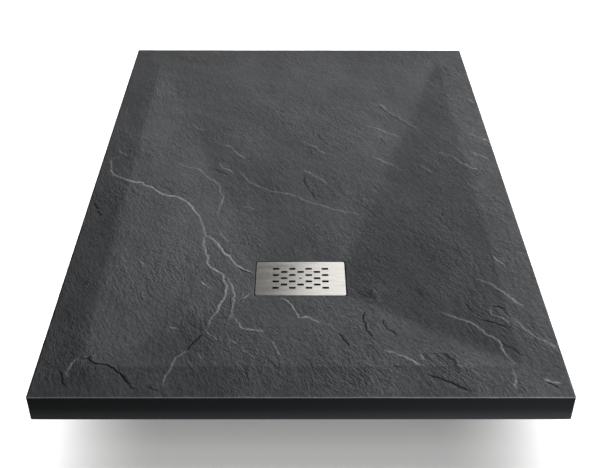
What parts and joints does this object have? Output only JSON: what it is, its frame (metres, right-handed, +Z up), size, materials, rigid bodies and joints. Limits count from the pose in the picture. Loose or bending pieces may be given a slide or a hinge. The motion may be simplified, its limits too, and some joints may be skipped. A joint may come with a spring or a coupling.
{
  "type": "shower tray",
  "caption": "Rectangular slate-effect shower tray with four falls to a slotted steel grate, a siphon trap with a swivelling outlet below it, and adjustable legs.",
  "frame": {"origin": "on the floor, under the middle of the tray", "axes": "+Z up; +Y along the length, from the drain end to the far end; +X to the right of somebody standing at the drain end and looking along the tray"},
  "size_m": [0.8, 1.2, 0.17],
  "materials": {
    "cast_resin": "ground",
    "slate_gel_coat": "slate relief",
    "brushed_steel": "brushed",
    "screw_steel": "satin",
    "pad_rubber": "matte",
    "seal_rubber": "matte",
    "sole_rubber": "matte",
    "waste_plastic": "moulded",
    "trap_plastic": "moulded",
    "insert_plastic": "moulded",
    "nut_plastic": "moulded",
    "nut_brass": "turned",
    "leg_plastic": "moulded",
    "ring_plastic": "moulded",
    "adhesive": "matte"
  },
  "bodies": {
    "tray": {"resin_slab": "cast_resin", "gel_coat": "slate_gel_coat", "waste_flange": "waste_plastic", "flange_seal": "seal_rubber", "lower_seal": "seal_rubber", "trap_head": "trap_plastic", "trap_cup": "trap_plastic", "cup_seal": "seal_rubber", "ball_seal": "seal_rubber", "adhesive_pads": "adhesive", "leg_head_front_left": "leg_plastic", "leg_head_front_right": "leg_plastic", "leg_head_middle_left": "leg_plastic", "leg_head_middle_right": "leg_plastic", "leg_head_back_left": "leg_plastic", "leg_head_back_right": "leg_plastic", "leg_head_centre": "leg_plastic"},
    "siphon": {"siphon_insert": "insert_plastic", "insert_nut": "nut_brass", "insert_ring": "seal_rubber"},
    "grate": {"grate_plate": "brushed_steel", "grate_pads": "pad_rubber"},
    "screw": {"grate_screw": "screw_steel"},
    "outlet": {"outlet_spigot": "trap_plastic"},
    "outlet_nut": {"outlet_nut": "nut_plastic"},
    "foot_front_left": {"foot_front_left": "leg_plastic", "foot_sole_front_left": "sole_rubber"},
    "ring_front_left": {"lock_ring_front_left": "ring_plastic"},
    "foot_front_right": {"foot_front_right": "leg_plastic", "foot_sole_front_right": "sole_rubber"},
    "ring_front_right": {"lock_ring_front_right": "ring_plastic"},
    "foot_middle_left": {"foot_middle_left": "leg_plastic", "foot_sole_middle_left": "sole_rubber"},
    "ring_middle_left": {"lock_ring_middle_left": "ring_plastic"},
    "foot_middle_right": {"foot_middle_right": "leg_plastic", "foot_sole_middle_right": "sole_rubber"},
    "ring_middle_right": {"lock_ring_middle_right": "ring_plastic"},
    "foot_back_left": {"foot_back_left": "leg_plastic", "foot_sole_back_left": "sole_rubber"},
    "ring_back_left": {"lock_ring_back_left": "ring_plastic"},
    "foot_back_right": {"foot_back_right": "leg_plastic", "foot_sole_back_right": "sole_rubber"},
    "ring_back_right": {"lock_ring_back_right": "ring_plastic"},
    "foot_centre": {"foot_centre": "leg_plastic", "foot_sole_centre": "sole_rubber"},
    "ring_centre": {"lock_ring_centre": "ring_plastic"}
  },
  "joints": [
    {"name": "siphon_lift", "type": "slide", "parent": "tray", "child": "siphon", "axis": [0, 0, 1], "range_m": [0, 0.09]},
    {"name": "grate_lift", "type": "slide", "parent": "siphon", "child": "grate", "axis": [0, 0, 1], "range_m": [0, 0.06]},
    {"name": "screw_turn", "type": "hinge", "parent": "grate", "child": "screw", "pos_m": [0, -0.2994, 0.146], "axis": [0, 0, 1], "continuous": true},
    {"name": "outlet_swivel", "type": "hinge", "parent": "tray", "child": "outlet", "pos_m": [0.075, -0.2994, 0.081], "axis": [0, 0, 1], "range_deg": [-12, 12]},
    {"name": "outlet_nut_turn", "type": "hinge", "parent": "tray", "child": "outlet_nut", "pos_m": [0.078, -0.2994, 0.081], "axis": [1, 0, 0], "continuous": true},
    {"name": "height_front_left", "type": "slide", "parent": "tray", "child": "foot_front_left", "axis": [0, 0, 1], "range_m": [0, 0.015]},
    {"name": "lock_front_left", "type": "hinge", "parent": "tray", "child": "ring_front_left", "pos_m": [-0.31, -0.43, 0.065], "axis": [0, 0, 1], "continuous": true},
    {"name": "height_front_right", "type": "slide", "parent": "tray", "child": "foot_front_right", "axis": [0, 0, 1], "range_m": [0, 0.015]},
    {"name": "lock_front_right", "type": "hinge", "parent": "tray", "child": "ring_front_right", "pos_m": [0.31, -0.43, 0.065], "axis": [0, 0, 1], "continuous": true},
    {"name": "height_middle_left", "type": "slide", "parent": "tray", "child": "foot_middle_left", "axis": [0, 0, 1], "range_m": [0, 0.015]},
    {"name": "lock_middle_left", "type": "hinge", "parent": "tray", "child": "ring_middle_left", "pos_m": [-0.31, 0.035, 0.065], "axis": [0, 0, 1], "continuous": true},
    {"name": "height_middle_right", "type": "slide", "parent": "tray", "child": "foot_middle_right", "axis": [0, 0, 1], "range_m": [0, 0.015]},
    {"name": "lock_middle_right", "type": "hinge", "parent": "tray", "child": "ring_middle_right", "pos_m": [0.31, 0.035, 0.065], "axis": [0, 0, 1], "continuous": true},
    {"name": "height_back_left", "type": "slide", "parent": "tray", "child": "foot_back_left", "axis": [0, 0, 1], "range_m": [0, 0.015]},
    {"name": "lock_back_left", "type": "hinge", "parent": "tray", "child": "ring_back_left", "pos_m": [-0.31, 0.5, 0.065], "axis": [0, 0, 1], "continuous": true},
    {"name": "height_back_right", "type": "slide", "parent": "tray", "child": "foot_back_right", "axis": [0, 0, 1], "range_m": [0, 0.015]},
    {"name": "lock_back_right", "type": "hinge", "parent": "tray", "child": "ring_back_right", "pos_m": [0.31, 0.5, 0.065], "axis": [0, 0, 1], "continuous": true},
    {"name": "height_centre", "type": "slide", "parent": "tray", "child": "foot_centre", "axis": [0, 0, 1], "range_m": [0, 0.015]},
    {"name": "lock_centre", "type": "hinge", "parent": "tray", "child": "ring_centre", "pos_m": [0, 0.095, 0.065], "axis": [0, 0, 1], "continuous": true}
  ]
}
